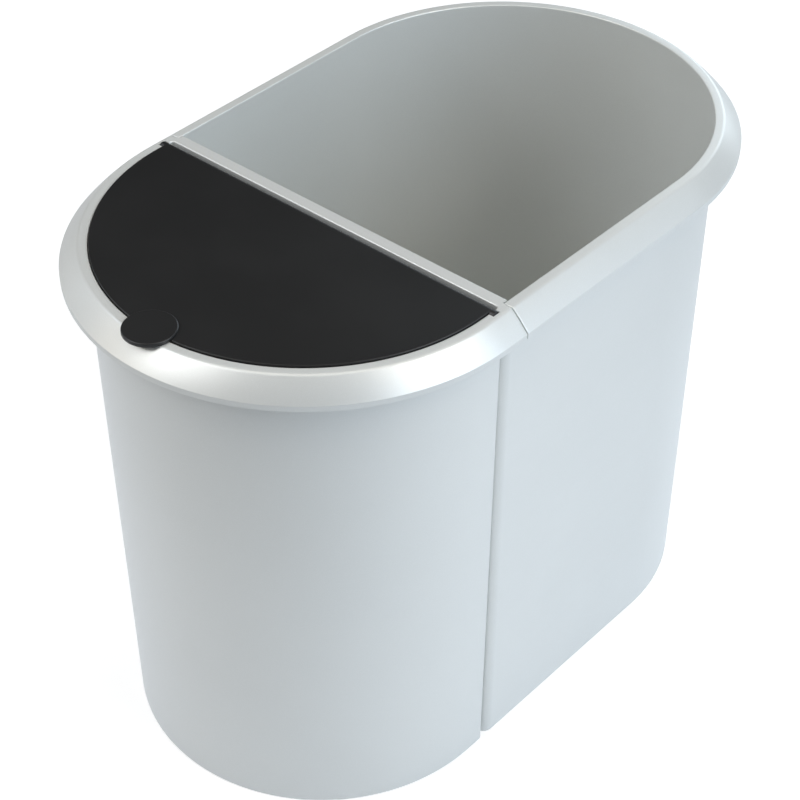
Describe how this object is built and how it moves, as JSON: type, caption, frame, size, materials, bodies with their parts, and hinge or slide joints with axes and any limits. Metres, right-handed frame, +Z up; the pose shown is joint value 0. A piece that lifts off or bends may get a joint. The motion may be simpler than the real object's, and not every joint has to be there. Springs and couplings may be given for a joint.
{
  "type": "double recycling bin",
  "caption": "Oval double office waste bin: a tall U-shaped open bin with a half-round bin hooked on its flat wall, closed by a black D-shaped hinged lid with a round grip.",
  "frame": {"origin": "on the floor, under the middle of the two rims' outline", "axes": "+Z up; +Y along the length, from the small lidded bin at the front (-Y) to the large open bin at the back; +X to the right of someone who faces the small bin's end from in front, the bin being symmetric about X = 0"},
  "size_m": [0.28, 0.4519, 0.3436],
  "materials": {
    "silver_plastic": "silver-grey satin moulded plastic with a fine metallic fleck",
    "black_plastic": "black satin-gloss moulded plastic"
  },
  "bodies": {
    "large_bin": {"large_bin": "silver_plastic"},
    "small_bin": {"small_bin": "silver_plastic"},
    "lid": {"lid": "black_plastic", "lid_grip": "black_plastic"}
  },
  "joints": [
    {"name": "small_bin_lift", "type": "slide", "parent": "large_bin", "child": "small_bin", "axis": [0, 0, 1], "range_m": [0, 0.04]},
    {"name": "lid_hinge", "type": "hinge", "parent": "small_bin", "child": "lid", "pos_m": [0, -0.0793, 0.3391], "axis": [-1, 0, 0], "range_deg": [0, 130]}
  ]
}
